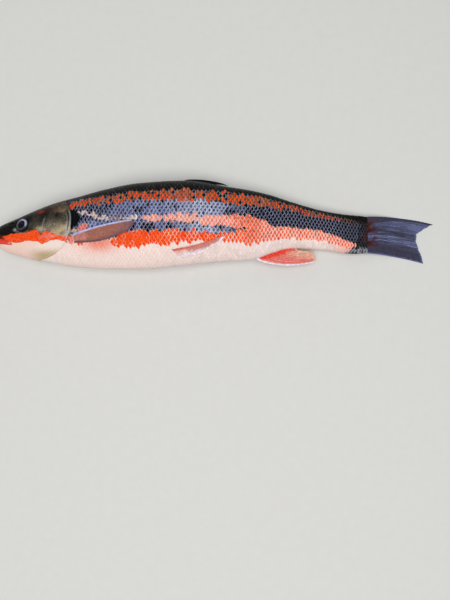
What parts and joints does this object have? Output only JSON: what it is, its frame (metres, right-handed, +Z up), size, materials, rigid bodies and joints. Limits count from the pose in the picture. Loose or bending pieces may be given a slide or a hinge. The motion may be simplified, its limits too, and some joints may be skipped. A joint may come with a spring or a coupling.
{
  "type": "japanese dace",
  "caption": "Freshly caught dace in breeding colours lying on its right side, head to the left, body gently arched, fins folded, tail half spread.",
  "frame": {"origin": "middle of the fish's outline seen from above, on the surface it lies on", "axes": "+X from head to tail, +Y towards the back, +Z up, towards the fish's left side"},
  "size_m": [0.3166, 0.0628, 0.0339],
  "materials": {
    "head_skin": "wet",
    "jaw_skin": "wet",
    "gill_cover_skin": "wet",
    "flank_skin": "wet scales",
    "tail_skin": "wet scales",
    "dark_fin": "wet membrane",
    "brown_fin": "wet membrane",
    "red_fin": "wet membrane",
    "eye": "high gloss"
  },
  "bodies": {
    "root": {"head": "head_skin", "lower_jaw": "jaw_skin", "gill_cover_left": "gill_cover_skin", "gill_cover_right": "gill_cover_skin", "trunk_front": "flank_skin", "trunk_rear": "flank_skin", "tail_stalk": "tail_skin", "caudal_fin": "dark_fin", "dorsal_fin": "dark_fin", "anal_fin": "red_fin", "pectoral_fin_left": "brown_fin", "pectoral_fin_right": "brown_fin", "pelvic_fin_left": "brown_fin", "pelvic_fin_right": "brown_fin", "eye_left": "eye", "eye_right": "eye"}
  },
  "joints": []
}
